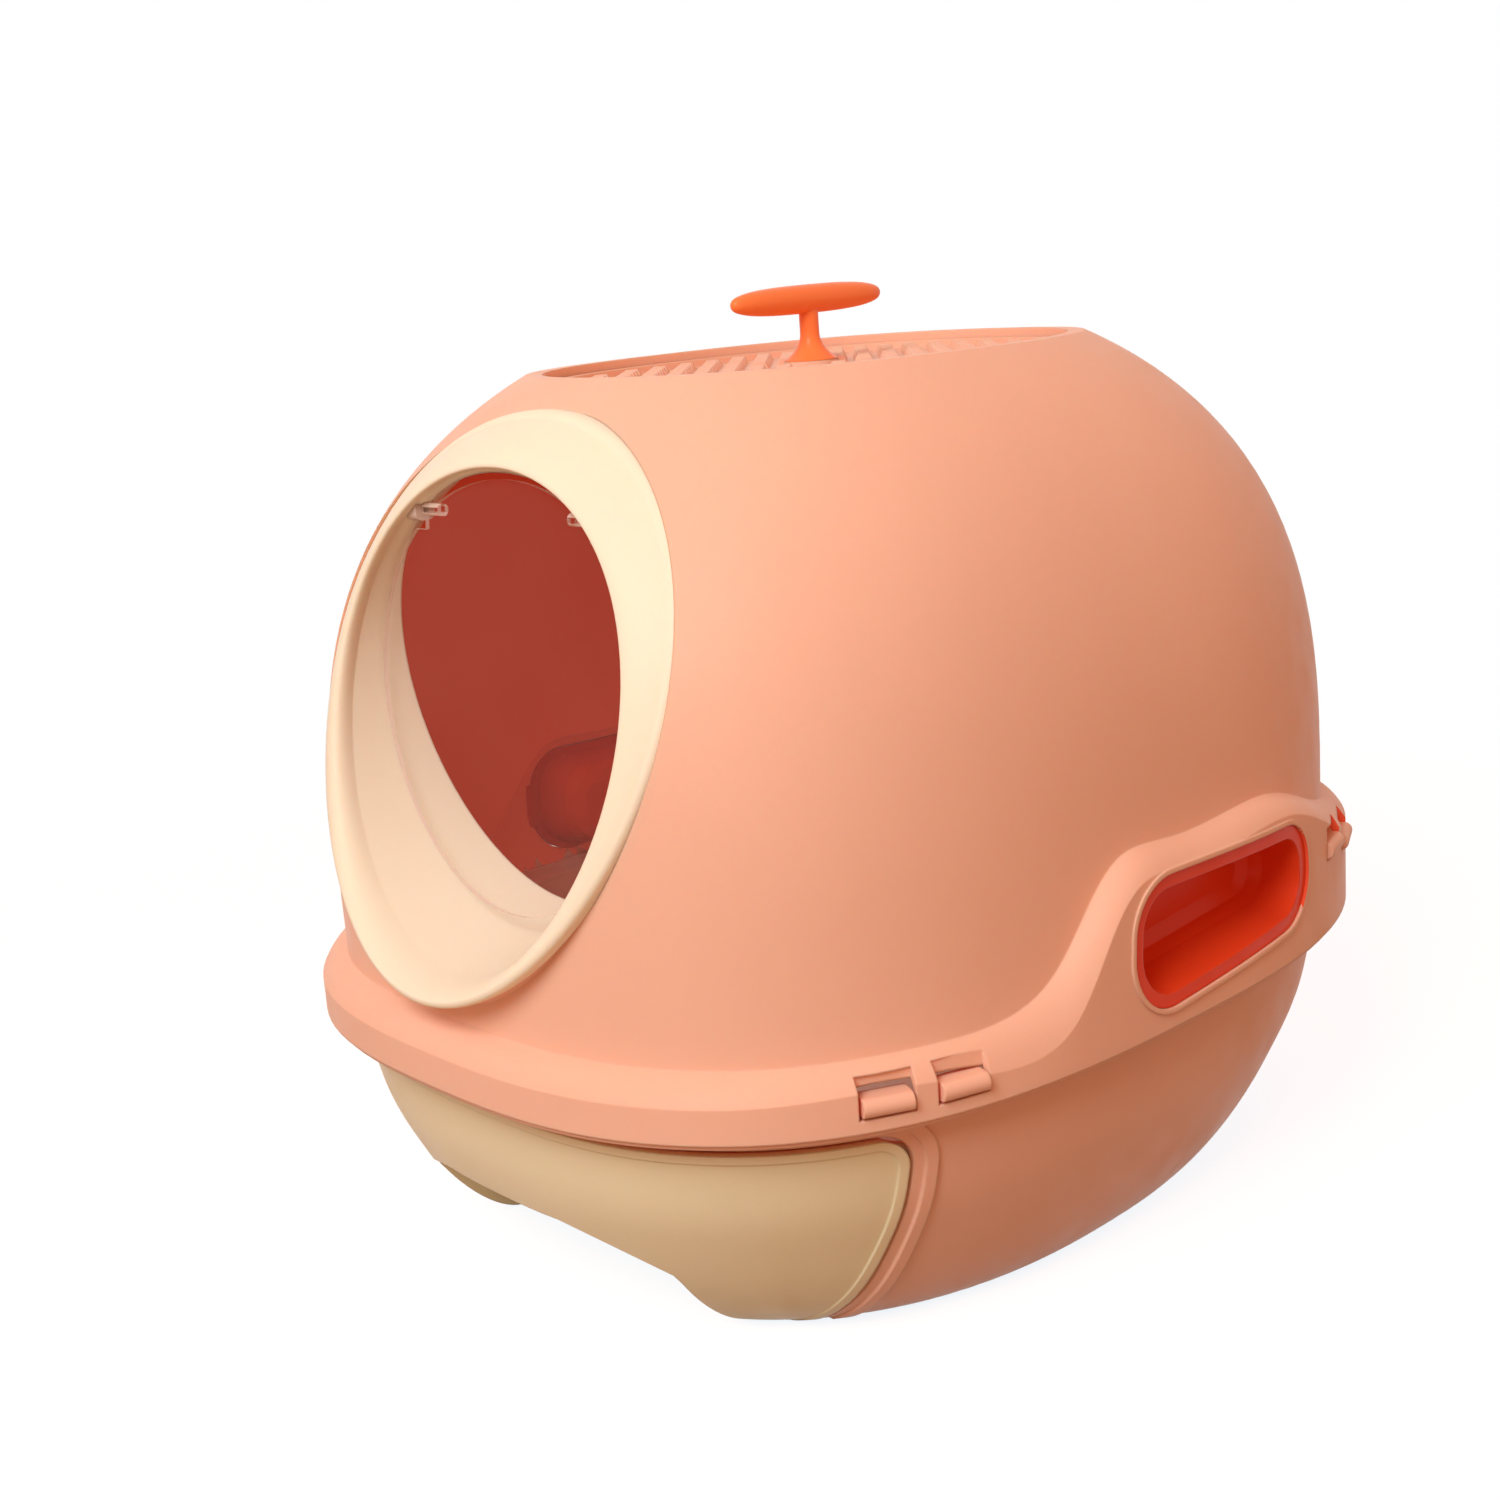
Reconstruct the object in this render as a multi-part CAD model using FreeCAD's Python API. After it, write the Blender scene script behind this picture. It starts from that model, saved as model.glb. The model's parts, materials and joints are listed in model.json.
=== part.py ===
import FreeCAD, Part
import math
import os
from FreeCAD import Vector

# A covered litter box. A round tub carries a domed hood with a flap door, finger cups at
# the sides and a lid in its flat top, and a drawer with a litter tray slides out in front.
# Lengths are in millimetres and angles in degrees. The origin is the middle of the flat
# bottom, Z is up, the door faces -Y and X runs across the box.

# Rim, where the hood meets the tub
rim_half_width = 211.0
rim_half_length = 255.0
rim_power = 2.72
outline_points = 28
outline_crowding = 0.07

# Tub
tub_height = 119.0
tub_wall = 3.0
tub_floor = 2.5
tub_bottom_share = 0.705
tub_top_share = 0.94
tub_profile_power = 1.6
tub_bottom_power = 2.3
tub_top_power = 2.8
tub_level_shares = (0.0, 0.025, 0.08, 0.17, 0.3, 0.48, 0.72, 1.0)
flange_thickness = 2.5
flange_setback = 2.0
lip_height = 4.0
lip_thickness = 2.5
lip_clearance = 0.5

# Drawer mouth in the tub
mouth_back = -143.0
mouth_top = 112.0
mouth_corner_radius = 17.0
mouth_bead_width = 5.0
mouth_bead_offset = 4.0
mouth_bead_height = 1.8
runner_width = 3.0
runner_height = 8.0
runner_clearance = 1.0
runner_start = -115.0
runner_end = 90.0

# Drawer front and its finger recess
front_gap = 2.5
front_wall = 3.0
front_lift = 0.4
front_edge_width = 4.0
front_edge_height = 1.0
backplate_thickness = 3.0
backplate_setback = 4.0
recess_half_width = 90.0
recess_bottom_half_width = 85.0
recess_height = 60.0
recess_corner_radius = 26.0
recess_mouth_y = -225.0
recess_foot_y = -156.0
recess_wall = 2.5

# Litter tray
tray_wall = 2.5
tray_height = 100.0
tray_rear_gap = 4.0
tray_rear_corners = 6
tray_rear_radius = 55.0
tray_front_radius = 12.0
tray_side_gap = 2.5
tray_level_shares = (0.0, 0.06, 0.16, 0.32, 0.6, 1.0)
peg_radius = 3.0
peg_height_shares = (0.35, 0.78)
peg_spacing_share = 0.6
peg_reach = 2.0
fit_clearance = 0.1

# Hood
hood_wall = 3.0
dome_half_width = 198.8
dome_half_length = 241.0
dome_power = 2.8
dome_spring_height = 176.0
top_height = 409.0
top_half_width = 108.0
top_half_length = 138.0
top_power = 2.5
dome_profile_power = 2.9
dome_cut_share = 0.86
dome_level_shares = (0.2, 0.4, 0.57, 0.72, 0.84, 0.93, 1.0)
edge_rounding = 4.5
edge_rounding_share = 0.6
edge_front = 137.0
edge_side = 191.5
edge_rear = 162.0
edge_rise_start = -89.0
edge_rise_end = -32.0
edge_fall_start = 88.0
edge_fall_end = 168.0
crease_overlap = 2.5
crease_front = 147.5
crease_side = 200.5
crease_rear = 171.0
crease_rise_start = -98.0
crease_rise_end = -34.0
crease_fall_start = 90.0
crease_fall_end = 170.0
top_skin = 3.5

# Lid seat in the flat top
lid_margin = 5.0
opening_power = 2.3
collar_wall = 3.0
lid_depth = 4.2
ledge_width = 6.0
ledge_thickness = 3.0

# Snap windows and tongues
window_width = 24.0
window_height = 17.0
window_drop = 1.7
window_lengths_y = (-165.5, -134.3, 135.3, 165.5)
tongue_side_gap = 1.4
tongue_thickness = 1.8
tongue_lip_gap = 1.2
tongue_crown = 2.8
tongue_foot_gap = 1.1
tongue_top_gap = 1.3

# Door ring: outlines are given by centre, half width, half height, lean and egg share
door_lean = 0.392
door_y = -210.0
door_z = 278.7
door_half_width = 117.5
door_half_height = 119.5
door_egg_share = 0.11
ring_flange = 6.0
ring_edge_radius = 3.2
ring_seat_gap = 0.15
crest_top_y = -190.5
crest_top_z = 381.0
crest_bottom_y = -249.0
crest_bottom_z = 166.0
crest_half_width = 101.0
crest_egg_share = 0.08
crest_depth = 14.0
crest_pull = 0.8
lip_shares = (0.0, 0.3, 0.6, 1.0)
throat_wall = 3.0
throat_gap = 3.0
throat_middle_y = -179.5
throat_lean = -0.078
ring_hole_gap = 0.8
collar_setback = 1.2
collar_depth = 45.0

# Screws that hold the ring from inside the hood, by their angle round the door
ring_screw_angles = (-22.0, 18.0, 58.0, 122.0, 162.0, 202.0)
ring_screw_radius = 1.5
ring_screw_reach = 5.0
ring_screw_head_radius = 3.0
ring_screw_head_height = 2.0

# Flap
flap_y = -195.4
flap_z = 278.2
flap_lean = 0.104
flap_half_width = 95.0
flap_half_height = 93.5
flap_egg_share = 0.07
flap_thickness = 2.0
hinge_z = 357.0
pin_radius = 2.0
pin_inner_x = 46.0
pin_outer_x = 65.0
boss_radius = 2.9
pin_gap = 0.6
bracket_inner_x = 59.8
bracket_outer_x = 68.0
bracket_half_size = 5.0
bracket_rounding = 3.3
bracket_fit = 0.15
notch_side_gap = 1.5
notch_half_height = 9.0

# Finger cups: the outline's corners lie on the side face, as Y and Z
cup_corners = ((-43.0, 128.8), (100.0, 139.8), (95.0, 187.5), (-39.0, 191.5))
cup_corner_radii = (27.0, 24.0, 22.0, 24.0)
cup_fit = 0.3
cup_setback = 0.5
cup_flange = 2.4
cup_rim_width = 6.5
cup_depth = 32.0
cup_wall = 2.2
cup_draw = 3.0
cup_round = 9.0
cup_ear_height = 24.0
cup_ear_reach = 3.0
bead_width = 2.2
bead_height = 1.0

# Lid with its pad field
lid_clearance = 1.2
lid_plate = 3.0
pad_height = 3.6
pad_pitch = 12.6
groove_floor_width = 3.0
groove_top_width = 6.4
lid_border = 5.0
lid_centre_radius = 17.0

# Lid handle and its screw
handle_foot_radius = 13.0
handle_stem_radius = 4.6
handle_flare_height = 13.0
handle_flare_levels = 6
handle_flare_power = 2.2
handle_bar_rise = 17.5
handle_bar_half_thickness = 6.7
handle_bar_half_length = 48.5
handle_bar_power = 2.8
handle_bar_points = 9
screw_radius = 2.0
screw_length = 24.0
screw_head_radius = 4.6
screw_head_height = 2.6
washer_radius = 8.0
washer_thickness = 1.2
screw_slot_width = 1.2
screw_slot_depth = 1.0

# One overrun serves every cut that passes right through
overrun = 6.0

X_AXIS = Vector(1, 0, 0)
Y_AXIS = Vector(0, 1, 0)
Z_AXIS = Vector(0, 0, 1)
ORIGIN = Vector(0, 0, 0)

# Heights that several pieces share
flange_bottom = tub_height
band_bottom = tub_height + flange_thickness
lid_seat = top_height - lid_depth - pad_height - lid_plate
lid_top = lid_seat + lid_plate
opening_half_width = top_half_width - lid_margin
opening_half_length = top_half_length - lid_margin
handle_bar_bottom = top_height + handle_bar_rise
hinge_y = flap_y + flap_lean * (hinge_z - flap_z) + flap_thickness / 2


def closed_edge(points):
    """A smooth closed curve through the points."""
    curve = Part.BSplineCurve()
    curve.interpolate(Points=points, PeriodicFlag=True)
    return curve.toShape()


def plan_angles():
    """Angles of the outline's points, from the rear round the box. The points crowd where
    the outline crosses the axes, because its curvature changes fastest there."""
    angles = []
    for i in range(outline_points):
        turn = 2 * math.pi * i / outline_points
        angles.append(math.pi / 2 + turn - outline_crowding * math.sin(4 * turn))
    return angles


def plan_point(angle, half_width, half_length, power):
    """A point of a rounded outline at an angle, as X and Y."""
    across = abs(math.cos(angle) / half_width) ** power
    along = abs(math.sin(angle) / half_length) ** power
    radius = (across + along) ** (-1 / power)
    return radius * math.cos(angle), radius * math.sin(angle)


def plan_edge(half_width, half_length, power, height):
    """A rounded outline, as a closed curve at one height or at a height given by Y."""
    points = []
    for angle in plan_angles():
        x, y = plan_point(angle, half_width, half_length, power)
        z = height(y) if callable(height) else height
        points.append(Vector(x, y, z))
    return closed_edge(points)


def half_width_at(y, half_width, half_length, power):
    """Half the width of a rounded outline where it has this Y."""
    return half_width * (1 - abs(y / half_length) ** power) ** (1 / power)


def loft(edges, ruled=False):
    """A solid through closed flat curves."""
    return Part.makeLoft([Part.Wire(edge) for edge in edges], True, ruled)


def prism(edge, direction):
    """A closed flat curve pushed along a direction."""
    wire = edge if isinstance(edge, Part.Wire) else Part.Wire(edge)
    return Part.Face(wire).extrude(direction)


def ring_prism(outer, inner, direction):
    """The flat area between two closed curves pushed along a direction."""
    area = Part.makeFace([Part.Wire(outer), Part.Wire(inner)], "Part::FaceMakerBullseye")
    return area.extrude(direction)


def closed_solid(faces):
    """The solid that the faces enclose."""
    shell = Part.Shell(faces)
    shell.sewShape()
    solid = Part.Solid(shell)
    if solid.Volume < 0:
        solid.reverse()
    return solid


def skin(groups):
    """A ring-shaped solid from bands of closed curves. Each band starts at the curve where
    the one before it ends, and the last band ends at the first curve."""
    faces = []
    for group in groups:
        if len(group) == 2:
            faces.append(Part.makeRuledSurface(group[0], group[1]))
        else:
            faces.extend(Part.makeLoft([Part.Wire(edge) for edge in group], False, False).Faces)
    return closed_solid(faces)


def smooth_step(share):
    """Goes from 0 to 1 with level ends."""
    share = min(1.0, max(0.0, share))
    return share * share * (3 - 2 * share)


def rounded_polygon(corners, radii):
    """A closed wire through the corners, each rounded with its own radius."""
    count = len(corners)
    edges = []
    last_end = None
    first_start = None
    for i in range(count):
        corner = corners[i]
        to_last = (corners[i - 1] - corner).normalize()
        to_next = (corners[(i + 1) % count] - corner).normalize()
        half_angle = to_last.getAngle(to_next) / 2
        reach = radii[i] / math.tan(half_angle)
        start = corner + to_last * reach
        end = corner + to_next * reach
        bisector = (to_last + to_next).normalize()
        middle = corner + bisector * (radii[i] / math.sin(half_angle) - radii[i])
        if last_end is None:
            first_start = start
        else:
            edges.append(Part.makeLine(last_end, start))
        edges.append(Part.Arc(start, middle, end).toShape())
        last_end = end
    edges.append(Part.makeLine(last_end, first_start))
    return Part.Wire(edges)


def inset_corners(corners, inset):
    """Corners of a convex outline whose sides have moved in by the inset."""
    count = len(corners)
    middle = sum(corners, Vector()) / count
    moved = []
    for i in range(count):
        a = (corners[i] - corners[i - 1]).normalize()
        b = (corners[(i + 1) % count] - corners[i]).normalize()
        side_a = (middle - corners[i]) - a * (middle - corners[i]).dot(a)
        side_b = (middle - corners[i]) - b * (middle - corners[i]).dot(b)
        normal_a = side_a.normalize()
        normal_b = side_b.normalize()
        spread = 1 + normal_a.dot(normal_b)
        moved.append(corners[i] + (normal_a + normal_b) * (inset / spread))
    return moved


# Tub


def tub_shape_at(height):
    """The tub's share of the rim size and its outline power at a height."""
    share = height / tub_height
    rise = max(0.0, 1 - (1 - share) ** tub_profile_power) ** (1 / tub_profile_power)
    size = tub_bottom_share + (tub_top_share - tub_bottom_share) * rise
    power = tub_bottom_power + (tub_top_power - tub_bottom_power) * share
    return size, power


def tub_half_sizes(height, inset):
    """Half width, half length and outline power of the tub at a height."""
    size, power = tub_shape_at(height)
    return rim_half_width * size - inset, rim_half_length * size - inset, power


def tub_form(inset, bottom, top=tub_height):
    """The tub's outside, or with an inset its inside, as a filled solid."""
    edges = []
    for share in tub_level_shares:
        height = bottom + (top - bottom) * share
        half_width, half_length, power = tub_half_sizes(height, inset)
        edges.append(plan_edge(half_width, half_length, power, height))
    return loft(edges)


def tub_skin(outer_inset, inner_inset):
    """The tub's wall between two insets, as a ring without a floor."""
    def edges(inset):
        rows = []
        for share in tub_level_shares:
            half_width, half_length, power = tub_half_sizes(tub_height * share, inset)
            rows.append(plan_edge(half_width, half_length, power, tub_height * share))
        return rows

    outer = edges(outer_inset)
    inner = edges(inner_inset)
    inner.reverse()
    return skin([outer, [outer[-1], inner[0]], inner, [inner[-1], outer[0]]])


def mouth_profile(grow):
    """The drawer mouth seen from the side, as a wire in the YZ plane. It is open to the
    front and below, and grow moves its back and its top outwards."""
    front = -rim_half_length - overrun
    low = -overrun
    back = mouth_back + grow
    top = mouth_top + grow
    radius = mouth_corner_radius + grow
    points = [Vector(0, front, low), Vector(0, back, low), Vector(0, back, top - radius)]
    bend = (1 - math.sqrt(0.5)) * radius
    middle = Vector(0, back - bend, top - bend)
    corner_end = Vector(0, back - radius, top)
    edges = [Part.makeLine(points[0], points[1]), Part.makeLine(points[1], points[2])]
    edges.append(Part.Arc(points[2], middle, corner_end).toShape())
    edges.append(Part.makeLine(corner_end, Vector(0, front, top)))
    edges.append(Part.makeLine(Vector(0, front, top), points[0]))
    return Part.Wire(edges)


def mouth_block(grow):
    """The space of the drawer mouth through the whole width."""
    wire = mouth_profile(grow)
    wire.translate(Vector(-rim_half_width, 0, 0))
    return prism(wire, Vector(2 * rim_half_width, 0, 0))


def floor_under_drawer():
    """The part of the tub's floor that stays under the drawer, behind the drawer's front."""
    half_width, half_length, power = tub_half_sizes(0, front_wall + front_gap / 2)
    return prism(plan_edge(half_width, half_length, power, -overrun), Z_AXIS * (tub_floor + overrun))


def mouth_bead():
    """The raised bead on the tub round the drawer mouth."""
    strip = mouth_block(mouth_bead_offset + mouth_bead_width).cut(mouth_block(mouth_bead_offset))
    floor_zone = Part.makeBox(2 * rim_half_width, 2 * rim_half_length, tub_floor + overrun,
                              Vector(-rim_half_width, -rim_half_length, -overrun))
    return tub_skin(-mouth_bead_height, tub_wall / 2).common(strip.cut(floor_zone))


def tub_flange():
    """The flat flange that the hood stands on, with its upright locating lip."""
    def rim_edge(inset, height):
        return plan_edge(rim_half_width - inset, rim_half_length - inset, rim_power, height)

    inner_width, inner_length, inner_power = tub_half_sizes(tub_height, tub_wall)
    hole = plan_edge(inner_width, inner_length, inner_power, flange_bottom)
    flange = ring_prism(rim_edge(flange_setback, flange_bottom), hole, Z_AXIS * flange_thickness)
    lip_outer = hood_wall + lip_clearance
    lip = ring_prism(rim_edge(lip_outer, band_bottom), rim_edge(lip_outer + lip_thickness, band_bottom),
                     Z_AXIS * lip_height)
    return flange, lip


def tray_half_width(height, inset=0.0):
    """Half the tray's width at a height: it follows the mouth that it passes through."""
    half_width, half_length, power = tub_half_sizes(height, tub_wall)
    return half_width_at(mouth_back, half_width, half_length, power) - tray_side_gap - inset


def runner_ribs():
    """Two low ribs on the tub's floor that guide the tray."""
    foot = tray_half_width(tub_floor + runner_height) + runner_clearance
    ribs = []
    for side in (1, -1):
        corner = Vector(side * foot - (runner_width if side < 0 else 0), runner_start, tub_floor)
        ribs.append(Part.makeBox(runner_width, runner_end - runner_start, runner_height, corner))
    return ribs


def base_tub():
    """The tub: a wall, a floor that runs under the drawer, a header over its mouth, the
    flange for the hood, the bead round the mouth and the runner ribs."""
    shell = tub_form(0, 0).cut(tub_form(tub_wall, tub_floor, tub_height))
    shell = shell.cut(mouth_block(0).cut(floor_under_drawer()))
    flange, lip = tub_flange()
    shell = shell.fuse([mouth_bead(), flange, lip] + runner_ribs())
    return shell.cut(recess_block(recess_wall + front_gap / 2))


# Drawer


def recess_block(grow):
    """The finger recess under the drawer front: an arch cut off by a sloping back wall."""
    base = -overrun
    top = recess_height + grow
    half_top = recess_half_width + grow
    half_base = recess_bottom_half_width + grow
    front = -rim_half_length - overrun
    depth = recess_foot_y - front + overrun
    corners = [Vector(-half_base, front, base), Vector(half_base, front, base),
               Vector(half_top, front, top), Vector(-half_top, front, top)]
    radius = recess_corner_radius + grow
    arch = [Part.makeLine(corners[0], corners[1])]
    to_base = (corners[1] - corners[2]).normalize()
    to_middle = (corners[3] - corners[2]).normalize()
    half_angle = to_base.getAngle(to_middle) / 2
    reach = radius / math.tan(half_angle)
    start = corners[2] + to_base * reach
    end = corners[2] + to_middle * reach
    inward = (to_base + to_middle).normalize()
    middle = corners[2] + inward * (radius / math.sin(half_angle) - radius)
    mirrored = [Vector(-p.x, p.y, p.z) for p in (start, middle, end)]
    arch.append(Part.makeLine(corners[1], start))
    arch.append(Part.Arc(start, middle, end).toShape())
    arch.append(Part.makeLine(end, mirrored[2]))
    arch.append(Part.Arc(mirrored[2], mirrored[1], mirrored[0]).toShape())
    arch.append(Part.makeLine(mirrored[0], corners[0]))
    block = prism(Part.Wire(arch), Y_AXIS * depth)
    slope = recess_height / (recess_foot_y - recess_mouth_y)
    shift = grow * math.sqrt(1 + slope * slope)
    foot = recess_foot_y + shift / slope
    high_z = slope * (foot - front)
    low_z = slope * (foot - (foot + overrun))
    roof = rim_half_length
    wedge = Part.makePolygon([Vector(0, front, high_z), Vector(0, foot + overrun, low_z),
                              Vector(0, foot + overrun, roof), Vector(0, front, roof),
                              Vector(0, front, high_z)])
    wedge.translate(Vector(-rim_half_width, 0, 0))
    return block.cut(prism(wedge, X_AXIS * (2 * rim_half_width)))


def drawer_zone(gap, low):
    """The space that the drawer front may take, a gap inside the mouth, from a height."""
    zone = mouth_block(-gap)
    below = Part.makeBox(2 * rim_half_width, 2 * rim_half_length, low + overrun + overrun,
                         Vector(-rim_half_width, -rim_half_length - overrun, -overrun - overrun))
    return zone.cut(below)


def drawer_front():
    """The curved front with its edge bead, finger recess and flat plate for the tray."""
    low = tub_floor + fit_clearance
    zone = drawer_zone(front_gap, front_lift)
    outside = tub_form(0, 0)
    front = tub_skin(0, front_wall).common(zone)
    edge_strip = zone.cut(drawer_zone(front_gap + front_edge_width, -overrun))
    edge = tub_skin(-front_edge_height, front_wall / 2).common(edge_strip)
    plate_face = mouth_back - backplate_setback
    plate_box = Part.makeBox(2 * rim_half_width, backplate_thickness, tray_height - low,
                             Vector(-rim_half_width, plate_face - backplate_thickness, low))
    plate = outside.common(plate_box).common(zone)
    liner = recess_block(recess_wall).common(outside).common(zone)
    front = front.fuse([edge, plate, liner])
    front = front.cut(recess_block(0))
    for peg in tray_pegs(fit_clearance):
        front = front.cut(peg)
    return front.removeSplitter()


def tray_outline(height, inset):
    """The tray's outline at a height: straight sides, and a back that follows the tub's."""
    half_width = tray_half_width(height, inset)
    front = mouth_back - backplate_setback + inset
    tub_width, tub_length, power = tub_half_sizes(height, tub_wall + tray_rear_gap + inset)
    side_y = half_width_at(half_width, tub_length, tub_width, power)
    first = math.atan2(side_y, half_width)
    corners = [Vector(-half_width, front, height), Vector(half_width, front, height)]
    radii = [tray_front_radius - inset, tray_front_radius - inset]
    for i in range(tray_rear_corners):
        angle = first + (math.pi - 2 * first) * i / (tray_rear_corners - 1)
        x, y = plan_point(angle, tub_width, tub_length, power)
        corners.append(Vector(x, y, height))
        radii.append(tray_rear_radius - inset)
    return rounded_polygon(corners, radii)


def tray_form(inset, bottom):
    """The tray's outside, or with an inset its inside, as a filled solid."""
    wires = []
    for share in tray_level_shares:
        height = bottom + (tray_height - bottom) * share
        wires.append(tray_outline(height, inset))
    return Part.makeLoft(wires, True, True)


def tray_pegs(grow):
    """The pegs on the tray's front wall that hold the drawer front."""
    plate_face = mouth_back - backplate_setback
    pegs = []
    for share in peg_height_shares:
        for side in (-1, 1):
            x = side * peg_spacing_share * tray_half_width(tray_height * share)
            length = backplate_thickness + peg_reach
            start = Vector(x, plate_face - length, tray_height * share)
            pegs.append(Part.makeCylinder(peg_radius + grow, length + tray_wall, start, Y_AXIS))
    return pegs


def litter_tray():
    """The pan that holds the litter and slides in the tub."""
    tray = tray_form(0, tub_floor).cut(tray_form(tray_wall, tub_floor + tray_wall))
    rim = Part.Face(tray_outline(tray_height, 0)).cut(Part.Face(tray_outline(tray_height, tray_wall)))
    rim_height = tray_wall
    tray = tray.fuse(rim.extrude(Z_AXIS * rim_height))
    tray = tray.fuse(tray_pegs(0))
    return tray.removeSplitter()


# Hood


def crease_height(y):
    """Height of the fold between dome and band: low in front, high over the cups."""
    rise = smooth_step((y - crease_rise_start) / (crease_rise_end - crease_rise_start))
    fall = smooth_step((y - crease_fall_start) / (crease_fall_end - crease_fall_start))
    return crease_front + (crease_side - crease_front) * rise - (crease_side - crease_rear) * fall


def edge_height(y):
    """Height of the band's outer edge, where its upright face rounds over to the fold."""
    rise = smooth_step((y - edge_rise_start) / (edge_rise_end - edge_rise_start))
    fall = smooth_step((y - edge_fall_start) / (edge_fall_end - edge_fall_start))
    return edge_front + (edge_side - edge_front) * rise - (edge_side - edge_rear) * fall


def rounding_height(y):
    """Height of the curve between the band's edge and its fold."""
    return edge_height(y) + (crease_height(y) - edge_height(y)) * edge_rounding_share


def dome_form(inset, bottom, top):
    """The dome's outside, or with an inset its inside, as a filled solid."""
    def half_sizes(height):
        share = max(0.0, (height - dome_spring_height) / (top_height - dome_spring_height))
        swell = (1 - (share * dome_cut_share) ** dome_profile_power) ** (1 / dome_profile_power)
        least = (1 - dome_cut_share ** dome_profile_power) ** (1 / dome_profile_power)
        swell = (swell - least) / (1 - least)
        half_width = top_half_width + (dome_half_width - top_half_width) * swell
        half_length = top_half_length + (dome_half_length - top_half_length) * swell
        power = top_power + (dome_power - top_power) * swell
        return half_width - inset, half_length - inset, power

    spring = (bottom + dome_spring_height) / 2
    heights = [bottom, spring, dome_spring_height]
    heights += [dome_spring_height + (top - dome_spring_height) * s for s in dome_level_shares]
    edges = []
    for height in heights:
        half_width, half_length, power = half_sizes(height + inset)
        edges.append(plan_edge(half_width, half_length, power, height))
    return loft(edges)


def band_form(inset, bottom):
    """The band under the dome, with the raised sides that carry the cups, as a ring."""
    def rim_edge(extra, height):
        return plan_edge(rim_half_width - inset - extra, rim_half_length - inset - extra,
                         rim_power, height)

    def dome_edge(extra, height):
        return plan_edge(dome_half_width - extra, dome_half_length - extra, dome_power, height)

    core = crease_overlap + hood_wall + inset
    foot = rim_edge(0, bottom)
    edge = rim_edge(0, lambda y: edge_height(y) - inset)
    shoulder = rim_edge(edge_rounding, lambda y: rounding_height(y) - inset)
    crease = dome_edge(crease_overlap + inset, lambda y: crease_height(y) + crease_overlap / 3 - inset)
    inner = dome_edge(core, lambda y: crease_height(y) + crease_overlap / 3 - inset)
    inner_foot = dome_edge(core, bottom)
    return skin([[foot, edge], [edge, shoulder, crease], [crease, inner], [inner, inner_foot],
                 [inner_foot, foot]])


def hollowed(body):
    """The hood's form without the space inside its dome and inside its band."""
    low = band_bottom - overrun
    body = body.cut(dome_form(hood_wall, low, top_height - top_skin))
    return body.cut(band_form(hood_wall, low))


def lid_well():
    """The upright collar in the flat top with the ledge that the lid rests on."""
    def ring(outer, inner, bottom, top):
        def edge(reach):
            return plan_edge(opening_half_width + reach, opening_half_length + reach,
                             opening_power, bottom)
        return ring_prism(edge(outer), edge(inner), Z_AXIS * (top - bottom))

    ledge_bottom = lid_seat - ledge_thickness
    collar = ring(collar_wall, 0, ledge_bottom, top_height)
    ledge = ring(collar_wall, -ledge_width, ledge_bottom, lid_seat)
    return collar, ledge


def lid_opening():
    """The opening of the flat top down to the lid's ledge."""
    outline = plan_edge(opening_half_width, opening_half_length, opening_power, lid_seat)
    return prism(outline, Z_AXIS * (lid_depth + lid_plate + pad_height + overrun))


def leaning_points(middle_y, middle_z, half_width, half_height, lean, egg_share):
    """Points of an upright egg outline whose Y leans back as it rises."""
    points = []
    for i in range(outline_points):
        angle = math.pi / 2 + 2 * math.pi * i / outline_points
        rise = math.sin(angle)
        x = half_width * math.cos(angle) * (1 + egg_share * rise)
        z = half_height * rise
        points.append(Vector(x, middle_y + lean * z, middle_z + z))
    return points


def leaning_edge(middle_y, middle_z, half_width, half_height, lean, egg_share):
    """An upright egg outline whose Y leans back as it rises."""
    return closed_edge(leaning_points(middle_y, middle_z, half_width, half_height, lean, egg_share))


def door_edge(setback, depth):
    """The door ring's outline, moved in by the setback and back by the depth."""
    return leaning_edge(door_y + depth, door_z, door_half_width - setback,
                        door_half_height - setback, door_lean, door_egg_share)


def door_land_normal():
    """Direction that points out of the door, square to its land."""
    return Vector(0, -1, door_lean).normalize()


def throat_back_points(grow):
    """Where the door's throat ends behind the flap."""
    half_width = flap_half_width + throat_gap + grow
    half_height = flap_half_height + throat_gap + grow
    return leaning_points(throat_middle_y, flap_z, half_width, half_height,
                          throat_lean, flap_egg_share)


def throat_outer_edge(grow):
    """The outside of the throat where it passes the hood's land."""
    half_width = flap_half_width + throat_gap + 2 * throat_wall + grow
    top = flap_z + flap_half_height + throat_gap + 3 * throat_wall
    bottom = crest_bottom_z - throat_wall
    middle = (top + bottom) / 2
    return leaning_edge(door_y + ring_flange + door_lean * (middle - door_z), middle, half_width,
                        (top - bottom) / 2 + grow, door_lean, flap_egg_share)


def door_hole():
    """The hole in the hood that takes the throat of the door ring."""
    reach = door_lean * door_half_height - door_y
    return prism(throat_outer_edge(ring_hole_gap), Y_AXIS * reach)


def door_cut():
    """What is cut off the dome in front of the door's land."""
    land = Part.Face(Part.Wire(door_edge(-ring_seat_gap, ring_flange)))
    return land.extrude(Y_AXIS * -(rim_half_length - dome_half_length + collar_depth))


def door_land():
    """The flat seat of the door ring, between its outline and the hole for the throat."""
    return ring_prism(door_edge(collar_setback, ring_flange), throat_outer_edge(-overrun),
                      door_land_normal() * -hood_wall)


def door_collar():
    """The collar of the hood that backs the door ring above and below."""
    land = Part.Face(Part.Wire(door_edge(collar_setback, ring_flange)))
    return land.extrude(door_land_normal() * -collar_depth)


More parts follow.
